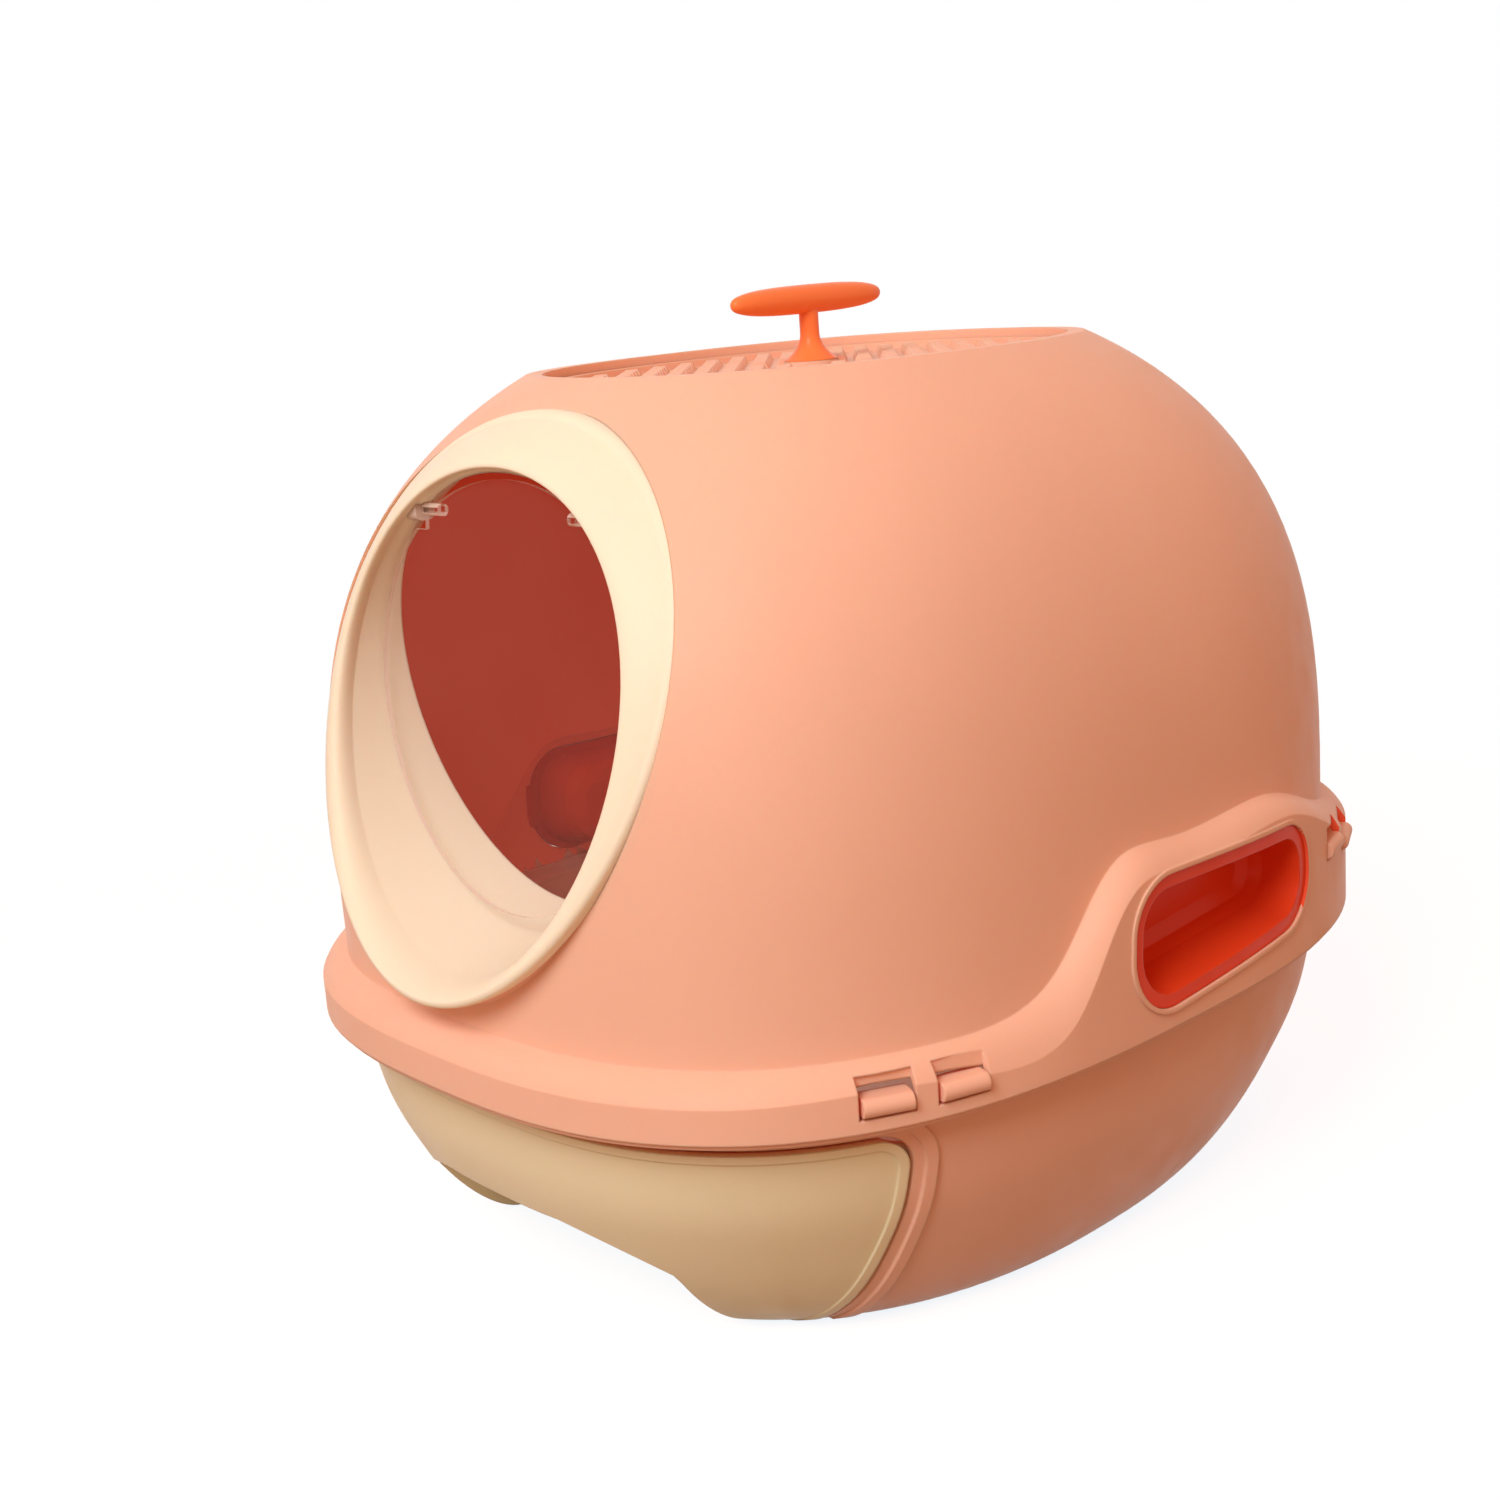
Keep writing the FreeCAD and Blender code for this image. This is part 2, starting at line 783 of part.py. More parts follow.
def rim_normal(y):
    """Point on the rim at the +X side with this Y, and the outward direction there."""
    x = half_width_at(y, rim_half_width, rim_half_length, rim_power)
    across = (x / rim_half_width) ** (rim_power - 1) / rim_half_width
    along = abs(y / rim_half_length) ** (rim_power - 1) / rim_half_length
    outward = Vector(across, math.copysign(along, y), 0).normalize()
    return Vector(x, y, 0), outward


def window_places():
    """Middle of each snap window on the rim, its outward direction and its height."""
    places = []
    for y in window_lengths_y:
        point, outward = rim_normal(y)
        lower_end = y + window_width / 2 if y > 0 else y - window_width / 2
        for side in (1, -1):
            middle = Vector(point.x * side, point.y, edge_height(lower_end) - window_drop)
            places.append((middle, Vector(outward.x * side, outward.y, 0)))
    return places


def facing_box(middle, outward, width, height, back, front):
    """A box square to the outward direction, from a depth behind its middle to one in front."""
    box = Part.makeBox(front + back, width, height, Vector(-back, -width / 2, -height / 2))
    box.rotate(ORIGIN, Z_AXIS, math.degrees(math.atan2(outward.y, outward.x)))
    box.translate(middle)
    return box


def snap_windows():
    """The cut-outs for the snap tongues."""
    inward = hood_wall * 2
    return [facing_box(middle, outward, window_width, window_height, inward, overrun)
            for middle, outward in window_places()]


def cup_outline(inset, x):
    """The cup's outline on a plane at this X, moved in by the inset."""
    corners = [Vector(x, y, z) for y, z in cup_corners]
    radii = [radius - inset for radius in cup_corner_radii]
    return rounded_polygon(inset_corners(corners, inset), radii)


def cup_prism(inset, inner_x, outer_x):
    """The cup's outline pushed along X."""
    return prism(cup_outline(inset, inner_x), X_AXIS * (outer_x - inner_x))


def rim_form(inset, bottom, top):
    """The rim outline pushed up, moved in by the inset."""
    outline = plan_edge(rim_half_width - inset, rim_half_length - inset, rim_power, bottom)
    return prism(outline, Z_AXIS * (top - bottom))


def cup_bead():
    """The thin raised bead on the hood round a cup."""
    inner_x = dome_half_width - overrun
    outer_x = rim_half_width + overrun
    strip = cup_prism(-cup_fit - bead_width, inner_x, outer_x)
    strip = strip.cut(cup_prism(-cup_fit, inner_x - overrun, outer_x + overrun))
    proud = rim_form(-bead_height, band_bottom, crease_side)
    return strip.common(proud).cut(rim_form(hood_wall / 2, band_bottom - overrun,
                                            crease_side + overrun))


def mirrored(shape):
    """The same piece on the other side of the box."""
    return shape.mirror(ORIGIN, X_AXIS)


def hood():
    """The hood: dome, band with raised sides, door land, windows, cup holes and lid well."""
    body = dome_form(0, band_bottom, top_height).fuse([band_form(0, band_bottom), door_collar()])
    body = body.cut(door_cut())
    body = hollowed(body)
    collar, ledge = lid_well()
    bead = cup_bead()
    body = body.fuse([collar, ledge, door_land(), bead, mirrored(bead)])
    body = body.cut(lid_opening())
    hole = cup_prism(-cup_fit, dome_half_width - cup_depth, rim_half_width + overrun)
    body = body.cut([door_hole(), hole, mirrored(hole)] + snap_windows())
    return body.cut(ring_screw_bores(ring_screw_radius + fit_clearance))


def snap_tongue(middle, outward):
    """A springy tongue that stands on the flange, with a rounded head in its window."""
    back = -(hood_wall + lip_clearance + lip_thickness + tongue_lip_gap + tongue_thickness)
    front = back + tongue_thickness
    low = middle.z - window_height / 2 + tongue_foot_gap
    high = middle.z + window_drop - tongue_top_gap
    crown = Vector(tongue_crown, 0, (low + high) / 2)
    face = -hood_wall / 2
    points = [Vector(back, 0, band_bottom), Vector(front, 0, band_bottom), Vector(front, 0, low),
              Vector(face, 0, low), Vector(face, 0, high), Vector(back, 0, high)]
    edges = [Part.makeLine(points[0], points[1]), Part.makeLine(points[1], points[2]),
             Part.makeLine(points[2], points[3])]
    edges.append(Part.Arc(points[3], crown, points[4]).toShape())
    edges.append(Part.makeLine(points[4], points[5]))
    edges.append(Part.makeLine(points[5], points[0]))
    width = window_width - 2 * tongue_side_gap
    wire = Part.Wire(edges)
    wire.translate(Vector(0, -width / 2, 0))
    tongue = prism(wire, Y_AXIS * width)
    tongue.rotate(ORIGIN, Z_AXIS, math.degrees(math.atan2(outward.y, outward.x)))
    tongue.translate(Vector(middle.x, middle.y, 0))
    return tongue


def snap_tongues():
    """The eight tongues that hold the hood on the tub."""
    return Part.makeCompound([snap_tongue(middle, outward) for middle, outward in window_places()])


# Finger cups


def cup_hollow(grow, face_x):
    """The hollow of a cup: it narrows inwards and is rounded at its bottom."""
    inset = cup_rim_width - grow
    bottom_x = face_x - cup_depth - grow
    wires = [cup_outline(inset - cup_draw / 2, face_x + overrun),
             cup_outline(inset + cup_draw, bottom_x + cup_round),
             cup_outline(inset + cup_draw + cup_round / 3, bottom_x + cup_round / 3),
             cup_outline(inset + cup_draw + cup_round, bottom_x)]
    return Part.makeLoft(wires, True, True)


def handle_cup():
    """A finger cup: its flange follows the rim's curve, and two ears hold it from behind."""
    face_x = rim_half_width - cup_setback
    inner_x = face_x - cup_depth - overrun
    outer_x = rim_half_width + overrun
    low = band_bottom - overrun
    high = crease_side + overrun
    face = rim_form(cup_setback, low, high)
    back = rim_form(cup_setback + cup_flange + hood_wall, low - overrun, high + overrun)
    flange = cup_prism(0, inner_x, outer_x).common(face).cut(back)
    ear_middle = sum(z for y, z in cup_corners) / len(cup_corners)
    ear_zone = Part.makeBox(2 * rim_half_width, 2 * rim_half_length, cup_ear_height,
                            Vector(-rim_half_width, -rim_half_length, ear_middle - cup_ear_height / 2))
    ears = cup_prism(-cup_ear_reach, inner_x, outer_x).common(ear_zone)
    ears = ears.common(rim_form(hood_wall + fit_clearance, low, high)).cut(back)
    bowl = cup_hollow(cup_wall, face_x).common(face)
    cup = flange.fuse([ears, bowl])
    return cup.cut(cup_hollow(0, face_x)).removeSplitter()


# Door ring and flap


def rolled_edge(share):
    """The rounding of the ring's outer edge, a share of a quarter turn from its side."""
    turn = math.pi / 2 * share
    depth = ring_edge_radius * (1 - math.sin(turn) * 3 / 2)
    return door_edge(ring_edge_radius * (1 - math.cos(turn)), depth)


def lip_edges():
    """Curves of the ring's lip, which swells from the outer edge over the crest and runs
    into the throat. Each section is a parabola that the crest pulls outwards."""
    crest_half_height = (crest_top_z - crest_bottom_z) / 2
    crest_lean = (crest_top_y - crest_bottom_y) / (crest_top_z - crest_bottom_z)
    front = leaning_points(door_y - ring_edge_radius / 2, door_z, door_half_width - ring_edge_radius,
                           door_half_height - ring_edge_radius, door_lean, door_egg_share)
    crest = leaning_points((crest_top_y + crest_bottom_y) / 2, (crest_top_z + crest_bottom_z) / 2,
                           crest_half_width, crest_half_height, crest_lean, crest_egg_share)
    rows = [[] for share in lip_shares]
    for start, peak, back in zip(front, crest, throat_back_points(0)):
        inward = back - peak
        end = peak + inward * (crest_depth / (crest_depth + inward.Length))
        pull = peak + (peak - (start + end) / 2) * crest_pull
        for row, share in zip(rows, lip_shares):
            rest = 1 - share
            row.append(start * rest ** 2 + pull * (2 * share * rest) + end * share ** 2)
    return [closed_edge(row) for row in rows]


def entrance_ring():
    """The ring round the door: a rolled edge, a swelling lip and the throat behind it."""
    back = door_edge(0, ring_flange)
    side = rolled_edge(0)
    lip = lip_edges()
    end = closed_edge(throat_back_points(0))
    end_outer = closed_edge(throat_back_points(throat_wall))
    land = throat_outer_edge(0)
    ring = skin([[back, side], [side, rolled_edge(1 / 2), lip[0]], lip,
                 [lip[-1], end], [end, end_outer], [end_outer, land], [land, back]])
    blocks = [bracket_block(side_sign, bracket_fit) for side_sign in (1, -1)]
    pin_room = Part.makeCylinder(boss_radius + pin_gap, 2 * bracket_inner_x,
                                 Vector(-bracket_inner_x, hinge_y, hinge_z), X_AXIS)
    return ring.cut(blocks + [pin_room] + ring_screw_bores(ring_screw_radius + fit_clearance))


def ring_screw_places():
    """Where the screws pass the land, halfway between its outline and the throat's hole."""
    places = []
    hole_half_width = flap_half_width + throat_gap + 2 * throat_wall + ring_hole_gap
    hole_half_height = flap_half_height + throat_gap + 3 * throat_wall + ring_hole_gap
    for degrees in ring_screw_angles:
        rise = math.sin(math.radians(degrees))
        across = math.cos(math.radians(degrees)) * (1 + door_egg_share * rise)
        x = across * (door_half_width + hole_half_width) / 2
        z = rise * (door_half_height + hole_half_height) / 2
        places.append(Vector(x, door_y + ring_flange + door_lean * z, door_z + z))
    return places


def ring_screw_bores(radius):
    """Round bodies along the ring's screws, through the land and into the ring."""
    normal = door_land_normal()
    length = hood_wall + ring_screw_reach + overrun
    bores = []
    for place in ring_screw_places():
        bores.append(Part.makeCylinder(radius, length, place - normal * (hood_wall + overrun), normal))
    return bores


def ring_screws():
    """The screws that hold the ring, put in from inside the hood."""
    normal = door_land_normal()
    screws = []
    for place in ring_screw_places():
        seat = place - normal * hood_wall
        length = hood_wall + ring_screw_reach - fit_clearance
        shank = Part.makeCylinder(ring_screw_radius, length, seat, normal)
        head = Part.makeCylinder(ring_screw_head_radius, ring_screw_head_height, seat, -normal)
        screws.append(shank.fuse(head))
    return Part.makeCompound(screws)


def bracket_block(side, grow):
    """The rounded block of a flap bracket, on the side of the door that the sign names."""
    size = 2 * (bracket_half_size + grow)
    width = bracket_outer_x - bracket_inner_x + 2 * grow
    x = bracket_inner_x - grow if side > 0 else -bracket_outer_x - grow
    corner = Vector(x, hinge_y - size / 2, hinge_z - size / 2)
    block = Part.makeBox(width, size, size, corner)
    along_x = [edge for edge in block.Edges if abs(edge.tangentAt(edge.FirstParameter).x) > 1 / 2]
    return block.makeFillet(bracket_rounding + grow, along_x)


def flap_bracket(side):
    """A clear bracket in the throat's wall that carries one pin of the flap."""
    block = bracket_block(side, 0)
    bore_start = Vector(side * (bracket_inner_x - overrun), hinge_y, hinge_z)
    bore_length = pin_outer_x - bracket_inner_x + overrun + fit_clearance * 2
    return block.cut(Part.makeCylinder(pin_radius + fit_clearance, bore_length, bore_start,
                                       X_AXIS * side))


def flap():
    """The clear flap with its two notched corners and the pins it swings on."""
    outline = leaning_edge(flap_y, flap_z, flap_half_width, flap_half_height,
                           flap_lean, flap_egg_share)
    normal = Vector(0, 1, -flap_lean).normalize()
    sheet = prism(outline, normal * flap_thickness)
    notch_x = bracket_inner_x - notch_side_gap
    for side in (1, -1):
        x = notch_x if side > 0 else -notch_x - flap_half_width
        corner = Vector(x, hinge_y - bracket_half_size * 2, hinge_z - notch_half_height)
        sheet = sheet.cut(Part.makeBox(flap_half_width, bracket_half_size * 4,
                                       2 * notch_half_height, corner))
        start = Vector(side * pin_inner_x, hinge_y, hinge_z)
        boss = Part.makeCylinder(boss_radius, notch_x - pin_inner_x, start, X_AXIS * side)
        pin = Part.makeCylinder(pin_radius, pin_outer_x - pin_inner_x, start, X_AXIS * side)
        sheet = sheet.fuse([boss, pin])
    return sheet.removeSplitter()


# Lid


def pad_wires(x, y):
    """Foot and crown of a raised pad that stands on its corner as seen from above."""
    def diamond(reach, height):
        return Part.makePolygon([Vector(x + reach, y, height), Vector(x, y + reach, height),
                                 Vector(x - reach, y, height), Vector(x, y - reach, height),
                                 Vector(x + reach, y, height)])

    foot = (pad_pitch - groove_floor_width) * math.sqrt(0.5)
    crown = (pad_pitch - groove_top_width) * math.sqrt(0.5)
    return diamond(foot, lid_top), diamond(crown, lid_top + pad_height)


def pad_places():
    """The pads' places in staggered rows, without those that would meet border or hub."""
    half_width = opening_half_width - lid_clearance - lid_border
    half_length = opening_half_length - lid_clearance - lid_border
    step = pad_pitch * math.sqrt(0.5)
    places = []
    columns = int(half_width / step)
    rows = int(half_length / step)
    for i in range(-columns, columns + 1):
        for j in range(-rows, rows + 1):
            x = i * step
            y = j * step
            across = abs(x / half_width) ** opening_power
            along = abs(y / half_length) ** opening_power
            wide = ((abs(x) + step) / half_width) ** opening_power + along
            long = across + ((abs(y) + step) / half_length) ** opening_power
            if (i + j) % 2 == 0 and max(wide, long) < 1 and math.hypot(x, y) > lid_centre_radius + step:
                places.append((x, y))
    return places


def top_lid():
    """The lid: a plate with a border, a hub and a field of raised pads, built face by face."""
    def edge(inset, height):
        return plan_edge(opening_half_width - lid_clearance - inset,
                         opening_half_length - lid_clearance - inset, opening_power, height)

    crown = lid_top + pad_height
    hub_low = Part.makeCircle(handle_foot_radius, Vector(0, 0, lid_top))
    hub_high = Part.makeCircle(handle_foot_radius, Vector(0, 0, crown))
    faces = [Part.Face(Part.Wire(edge(0, lid_seat))), Part.Face(Part.Wire(hub_high))]
    faces.append(Part.makeFace([Part.Wire(edge(0, crown)), Part.Wire(edge(lid_border, crown))],
                               "Part::FaceMakerBullseye"))
    for low, high in ((edge(0, lid_seat), edge(0, crown)),
                      (edge(lid_border, lid_top), edge(lid_border, crown)), (hub_low, hub_high)):
        faces.append(Part.makeRuledSurface(low, high))
    field = [Part.Wire(edge(lid_border, lid_top)), Part.Wire(hub_low)]
    for x, y in pad_places():
        foot, top = pad_wires(x, y)
        field.append(foot)
        faces.append(Part.Face(top))
        for low, high in zip(foot.Edges, top.Edges):
            faces.append(Part.makeRuledSurface(low, high))
    faces.append(Part.makeFace(field, "Part::FaceMakerBullseye"))
    lid = closed_solid(faces)
    bore = Part.makeCylinder(screw_radius + fit_clearance, lid_plate + pad_height + 2 * overrun,
                             Vector(0, 0, lid_seat - overrun))
    return lid.cut(bore)


def handle_bar():
    """The handle's bar: two equal round halves, thickest where they meet, with full ends."""
    stretch = handle_bar_half_length / handle_bar_half_thickness
    halves = []
    for side in (1, -1):
        points = []
        for i in range(handle_bar_points):
            angle = math.pi / 2 * i / (handle_bar_points - 1)
            out, along = plan_point(angle, handle_bar_half_thickness, handle_bar_half_thickness,
                                    handle_bar_power)
            points.append(Vector(0, side * along * stretch, out))
        curve = Part.BSplineCurve()
        curve.interpolate(points)
        edges = [curve.toShape(), Part.makeLine(points[-1], ORIGIN), Part.makeLine(ORIGIN, points[0])]
        halves.append(Part.Face(Part.Wire(edges)).revolve(ORIGIN, Y_AXIS, 360))
    bar = halves[0].fuse(halves[1])
    bar.translate(Vector(0, 0, handle_bar_bottom + handle_bar_half_thickness))
    return bar


def lid_handle():
    """The lid's handle: a flared foot, a thin stem and a full oblong bar."""
    foot = lid_top + pad_height
    points = [Vector(0, 0, foot), Vector(handle_foot_radius, 0, foot)]
    flare = []
    for i in range(handle_flare_levels + 1):
        share = i / handle_flare_levels
        radius = handle_stem_radius + (handle_foot_radius - handle_stem_radius) * (
            (1 - share) ** handle_flare_power)
        flare.append(Vector(radius, 0, foot + handle_flare_height * share))
    curve = Part.BSplineCurve()
    curve.interpolate(flare)
    top = handle_bar_bottom + handle_bar_half_thickness
    edges = [Part.makeLine(points[0], points[1]), curve.toShape(),
             Part.makeLine(flare[-1], Vector(handle_stem_radius, 0, top)),
             Part.makeLine(Vector(handle_stem_radius, 0, top), Vector(0, 0, top)),
             Part.makeLine(Vector(0, 0, top), points[0])]
    stem = Part.Face(Part.Wire(edges)).revolve(ORIGIN, Z_AXIS, 360)
    bore = Part.makeCylinder(screw_radius + fit_clearance, screw_length, Vector(0, 0, foot - overrun))
    return stem.fuse(handle_bar()).cut(bore)


def lid_screw():
    """The screw that holds the handle from below, with a slotted head."""
    washer_bottom = lid_seat - washer_thickness
    head = Part.makeCylinder(screw_head_radius, screw_head_height,
                             Vector(0, 0, washer_bottom - screw_head_height))
    slot = Part.makeBox(screw_slot_width, 2 * screw_head_radius, screw_slot_depth,
                        Vector(-screw_slot_width / 2, -screw_head_radius,
                               washer_bottom - screw_head_height))
    shank_length = screw_length - overrun + lid_plate + pad_height + washer_thickness - fit_clearance
    shank = Part.makeCylinder(screw_radius, shank_length, Vector(0, 0, washer_bottom))
    return head.cut(slot).fuse(shank).removeSplitter()


def lid_washer():
    """The washer between the screw's head and the lid."""
    start = Vector(0, 0, lid_seat - washer_thickness)
    disc = Part.makeCylinder(washer_radius, washer_thickness, start)
    return disc.cut(Part.makeCylinder(screw_radius + fit_clearance, washer_thickness, start))


def write(name, shape):
    """Writes one piece and says what it measures."""
    box = shape.BoundBox
    print(name, "solids", len(shape.Solids), "valid", shape.isValid(), "volume", round(shape.Volume),
          "box", [round(v, 1) for v in (box.XMin, box.XMax, box.YMin, box.YMax, box.ZMin, box.ZMax)])
    shape.exportStep("parts/" + name + ".step")


def main():
    os.makedirs("parts", exist_ok=True)
    cup = handle_cup()
    write("base_tub", base_tub())
    write("snap_tongues", snap_tongues())
    write("litter_tray", litter_tray())
    write("drawer_front", drawer_front())
    write("hood", hood())
    write("entrance_ring", entrance_ring())
    write("ring_screws", ring_screws())
    write("flap", flap())
    write("flap_bracket_right", flap_bracket(1))
    write("flap_bracket_left", flap_bracket(-1))
    write("handle_cup_right", cup)
    write("handle_cup_left", mirrored(cup))
    write("top_lid", top_lid())
    write("lid_handle", lid_handle())
    write("lid_screw", lid_screw())
    write("lid_washer", lid_washer())


main()
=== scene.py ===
import json
import math

import bpy
from mathutils import Matrix, Vector


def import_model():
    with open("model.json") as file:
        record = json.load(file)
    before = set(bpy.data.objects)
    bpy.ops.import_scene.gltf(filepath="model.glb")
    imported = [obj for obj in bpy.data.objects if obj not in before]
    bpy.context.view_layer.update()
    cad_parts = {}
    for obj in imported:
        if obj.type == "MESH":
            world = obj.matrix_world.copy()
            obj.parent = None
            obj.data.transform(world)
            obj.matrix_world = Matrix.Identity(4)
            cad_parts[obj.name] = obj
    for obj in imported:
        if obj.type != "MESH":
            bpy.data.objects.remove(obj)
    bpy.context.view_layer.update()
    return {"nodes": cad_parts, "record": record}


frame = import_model()
nodes = frame["nodes"]

# Lengths are in metres, angles in degrees, and colours are linear red, green and blue.

WHITE = (1, 1, 1)
PEACH = (0.9, 0.56, 0.42)
# Painted shade and painted glow: a darker, redder peach for the hood's inner wall, standing
# in for light coming through the walls
PEACH_INSIDE_PAINTED_SHADE_GLOW = (0.76, 0.095, 0.04)
CREAM = (0.93, 0.9, 0.73)
DRAWER_CREAM = (0.86, 0.83, 0.58)
ORANGE = (1.0, 0.26, 0.075)
CUP_ORANGE = (0.8, 0.07, 0.018)
CLEAR = (0.95, 0.84, 0.76)
STEEL = (0.62, 0.61, 0.6)
NYLON = (0.55, 0.55, 0.53)
TUB_SHARE = 0.97
TRAY_SHARE = 0.95

# How far each colour of light travels under the surface, before the common scale
PEACH_DEPTH = (1.0, 0.3, 0.15)
CREAM_DEPTH = (1.0, 0.6, 0.35)
DEPTH_SCALE = 0.006

# Noise lies mostly between these two values
NOISE_LOW = 0.3
NOISE_HIGH = 0.7

DRIFT_SCALE = 9
DRIFT_DETAIL = 3
GLOSS_SCALE = 60
GLOSS_DETAIL = 4
GLOSS_CHANGE = 0.05
GRAIN_SCALE = 1400
GRAIN_DETAIL = 2
GRAIN_ROUGHNESS = 0.6
GRAIN_DEPTH = 0.0002
EDGE_ROUNDING = 0.0012
EDGE_SAMPLES = 6
PLASTIC_REFLECTION = 0.12
COAT_ROUGHNESS = 0.25

CLEAR_DRIFT = 0.03
CLEAR_REFLECTION = 0.1
SCUFF_SCALE = 35
SCUFF_DETAIL = 5
SCUFF_CHANGE = 0.3
VEIL_SCALE = 14
VEIL_DETAIL = 3
VEIL_CHANGE = 0.15

TURNING_SCALE = 900
TURNING_DETAIL = 2
TURNING_CHANGE = 0.08

# The part of the hood's inner wall that takes painted shade and a painted glow, standing in
# for light coming through the walls
INSIDE_BOTTOM = 0.125
INSIDE_TOP = 0.395
DOME_CENTRE_HEIGHT = 0.2
DOOR_BACK = -0.15
FACING_BACK = 0.5
FACING_INWARDS = -0.3
FLAP_FACE = 0.9

ROOM_TINT = (1.0, 0.47, 0.25)
ROOM_STRENGTH = 0.63
KEY_PLACE = (0.62, -1.7, 1.68)
KEY_AIM = (0, 0, 0.2)
KEY_SIZE = 1.2
KEY_POWER = 33

FLOOR_REACH = 4
FLOOR_COLOUR = (0.38, 0.27, 0.19)
FLOOR_ROUGHNESS = 0.9
FLOOR_GLOW_COLOUR = (0.88, 0.96, 1.0)
FLOOR_GLOW = 0.92
FADE_START = 0.35
FADE_END = 0.95

CAMERA_AZIMUTH = 48.0
CAMERA_ELEVATION = 13.96
CAMERA_ROLL = -4.28
CAMERA_DISTANCE = 0.99698
CAMERA_RIGHT = -0.04298
CAMERA_AIM_HEIGHT = 0.21625
CAMERA_NEAREST = 0.01
LENS_MM = 48
SENSOR_MM = 36


def opaque(colour):
    """A colour with its alpha."""
    return tuple(colour) + (1,)


def new_material(name):
    """A material with its shader joined to its output, the tree and the shader."""
    material = bpy.data.materials.new(name)
    material.use_nodes = True
    tree = material.node_tree
    tree.nodes.clear()
    output = tree.nodes.new("ShaderNodeOutputMaterial")
    shader = tree.nodes.new("ShaderNodeBsdfPrincipled")
    tree.links.new(shader.outputs["BSDF"], output.inputs["Surface"])
    return material, tree, shader


def noise(tree, scale, detail, roughness=0.5):
    """Noise in the object's own coordinates."""
    place = tree.nodes.new("ShaderNodeTexCoord")
    texture = tree.nodes.new("ShaderNodeTexNoise")
    texture.inputs["Scale"].default_value = scale
    texture.inputs["Detail"].default_value = detail
    texture.inputs["Roughness"].default_value = roughness
    tree.links.new(place.outputs["Object"], texture.inputs["Vector"])
    return texture.outputs["Fac"]


def spread(tree, value, low, high):
    """Turns the usual range of noise into one from low to high."""
    node = tree.nodes.new("ShaderNodeMapRange")
    node.inputs["From Min"].default_value = NOISE_LOW
    node.inputs["From Max"].default_value = NOISE_HIGH
    node.inputs["To Min"].default_value = low
    node.inputs["To Max"].default_value = high
    tree.links.new(value, node.inputs["Value"])
    return node.outputs["Result"]


def drifting_colour(tree, shader, colour, change):
    """A base colour that drifts a little from place to place."""
    mix = tree.nodes.new("ShaderNodeMix")
    mix.data_type = "RGBA"
    mix.inputs["A"].default_value = opaque(c * (1 - change) for c in colour)
    mix.inputs["B"].default_value = opaque(min(1, c * (1 + change)) for c in colour)
    drift = spread(tree, noise(tree, DRIFT_SCALE, DRIFT_DETAIL), 0, 1)
    tree.links.new(drift, mix.inputs["Factor"])
    tree.links.new(mix.outputs["Result"], shader.inputs["Base Color"])


def grained_normal(tree, shader, grain):
    """Edges that look rounded by a small radius, under a fine moulded grain."""
    bevel = tree.nodes.new("ShaderNodeBevel")
    bevel.samples = EDGE_SAMPLES
    bevel.inputs["Radius"].default_value = EDGE_ROUNDING
    bump = tree.nodes.new("ShaderNodeBump")
    bump.inputs["Strength"].default_value = grain
    bump.inputs["Distance"].default_value = GRAIN_DEPTH
    height = noise(tree, GRAIN_SCALE, GRAIN_DETAIL, GRAIN_ROUGHNESS)
    tree.links.new(height, bump.inputs["Height"])
    tree.links.new(bevel.outputs["Normal"], bump.inputs["Normal"])
    tree.links.new(bump.outputs["Normal"], shader.inputs["Normal"])


def plastic(name, colour, roughness, change, grain, depth_weight=0.0, depth=PEACH_DEPTH,
            coat=0.0, painted_glow=0.0):
    """Moulded plastic: a colour that drifts a little, uneven gloss, a fine grain, light
    that travels some way under the surface, and a painted glow that stands in for light
    coming through it."""
    material, tree, shader = new_material(name)
    drifting_colour(tree, shader, colour, change)
    gloss = spread(tree, noise(tree, GLOSS_SCALE, GLOSS_DETAIL),
                   roughness - GLOSS_CHANGE, roughness + GLOSS_CHANGE)
    tree.links.new(gloss, shader.inputs["Roughness"])
    grained_normal(tree, shader, grain)
    shader.inputs["Specular IOR Level"].default_value = PLASTIC_REFLECTION
    shader.inputs["Subsurface Weight"].default_value = depth_weight
    shader.inputs["Subsurface Radius"].default_value = depth
    shader.inputs["Subsurface Scale"].default_value = DEPTH_SCALE
    shader.inputs["Coat Weight"].default_value = coat
    shader.inputs["Coat Roughness"].default_value = COAT_ROUGHNESS
    # Emission in the material's own colour is a painted glow; its strength is nothing unless
    # given
    shader.inputs["Emission Color"].default_value = opaque(colour)
    shader.inputs["Emission Strength"].default_value = painted_glow
    return material


def clear_plastic(name, roughness, body):
    """Clear sheet or moulding: seen through, with an uneven veil and faint scuffs."""
    material, tree, shader = new_material(name)
    drifting_colour(tree, shader, CLEAR, CLEAR_DRIFT)
    scuffs = spread(tree, noise(tree, SCUFF_SCALE, SCUFF_DETAIL),
                    roughness * (1 - SCUFF_CHANGE), roughness * (1 + SCUFF_CHANGE))
    tree.links.new(scuffs, shader.inputs["Roughness"])
    veil = spread(tree, noise(tree, VEIL_SCALE, VEIL_DETAIL),
                  body * (1 - VEIL_CHANGE), body * (1 + VEIL_CHANGE))
    tree.links.new(veil, shader.inputs["Alpha"])
    shader.inputs["Specular IOR Level"].default_value = CLEAR_REFLECTION
    return material


def metal(name, colour, roughness):
    """Plated steel with turning marks."""
    material, tree, shader = new_material(name)
    shader.inputs["Metallic"].default_value = 1
    shader.inputs["Base Color"].default_value = opaque(colour)
    marks = spread(tree, noise(tree, TURNING_SCALE, TURNING_DETAIL),
                   roughness - TURNING_CHANGE, roughness + TURNING_CHANGE)
    tree.links.new(marks, shader.inputs["Roughness"])
    return material


